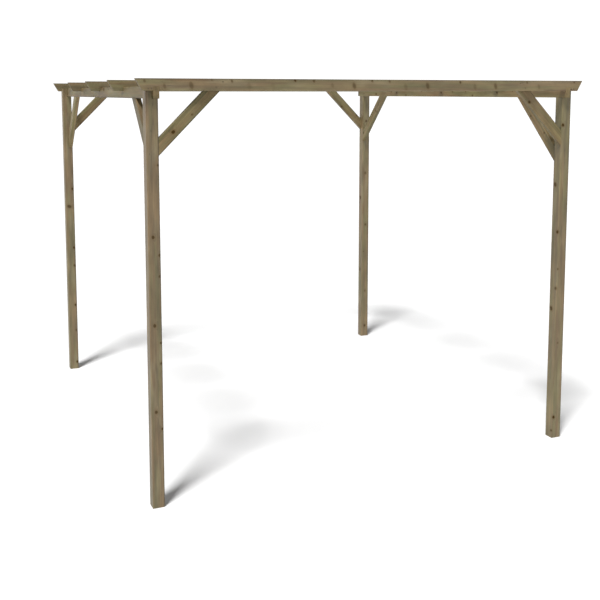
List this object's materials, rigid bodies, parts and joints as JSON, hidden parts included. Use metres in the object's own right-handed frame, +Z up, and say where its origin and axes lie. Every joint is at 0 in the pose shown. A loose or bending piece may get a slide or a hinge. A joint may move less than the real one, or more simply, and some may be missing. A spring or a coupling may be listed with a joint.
{
  "type": "open timber carport frame",
  "caption": "Open timber carport frame: square corner posts, side beams let into the post tops, notched rafters with bevelled tails, and 45 degree braces.",
  "frame": {"origin": "on the ground, at the centre of the plan of the frame", "axes": "+Z up, +X along the rafters towards the right-hand posts, +Y along the side beams towards the rear posts"},
  "size_m": [2.987, 3.051, 2.443],
  "materials": {
    "post_timber": "planed softwood, pressure treated to an olive brown, matt, with small dark knots",
    "beam_timber": "planed softwood, pressure treated to an olive brown, matt, with long straight grain",
    "rafter_timber": "planed softwood, pressure treated to an olive brown, matt, with long straight grain",
    "brace_timber": "planed softwood, pressure treated to an olive brown, matt, with sawn mitres"
  },
  "bodies": {
    "root": {"post_front_left": "post_timber", "post_front_right": "post_timber", "post_rear_left": "post_timber", "post_rear_right": "post_timber", "side_beam_left": "beam_timber", "side_beam_right": "beam_timber", "rafter_front": "rafter_timber", "rafter_second": "rafter_timber", "rafter_middle": "rafter_timber", "rafter_fourth": "rafter_timber", "rafter_rear": "rafter_timber", "cross_brace_front_left": "brace_timber", "cross_brace_front_right": "brace_timber", "cross_brace_rear_left": "brace_timber", "cross_brace_rear_right": "brace_timber", "side_brace_front_left": "brace_timber", "side_brace_front_right": "brace_timber", "side_brace_rear_left": "brace_timber", "side_brace_rear_right": "brace_timber"}
  },
  "joints": []
}
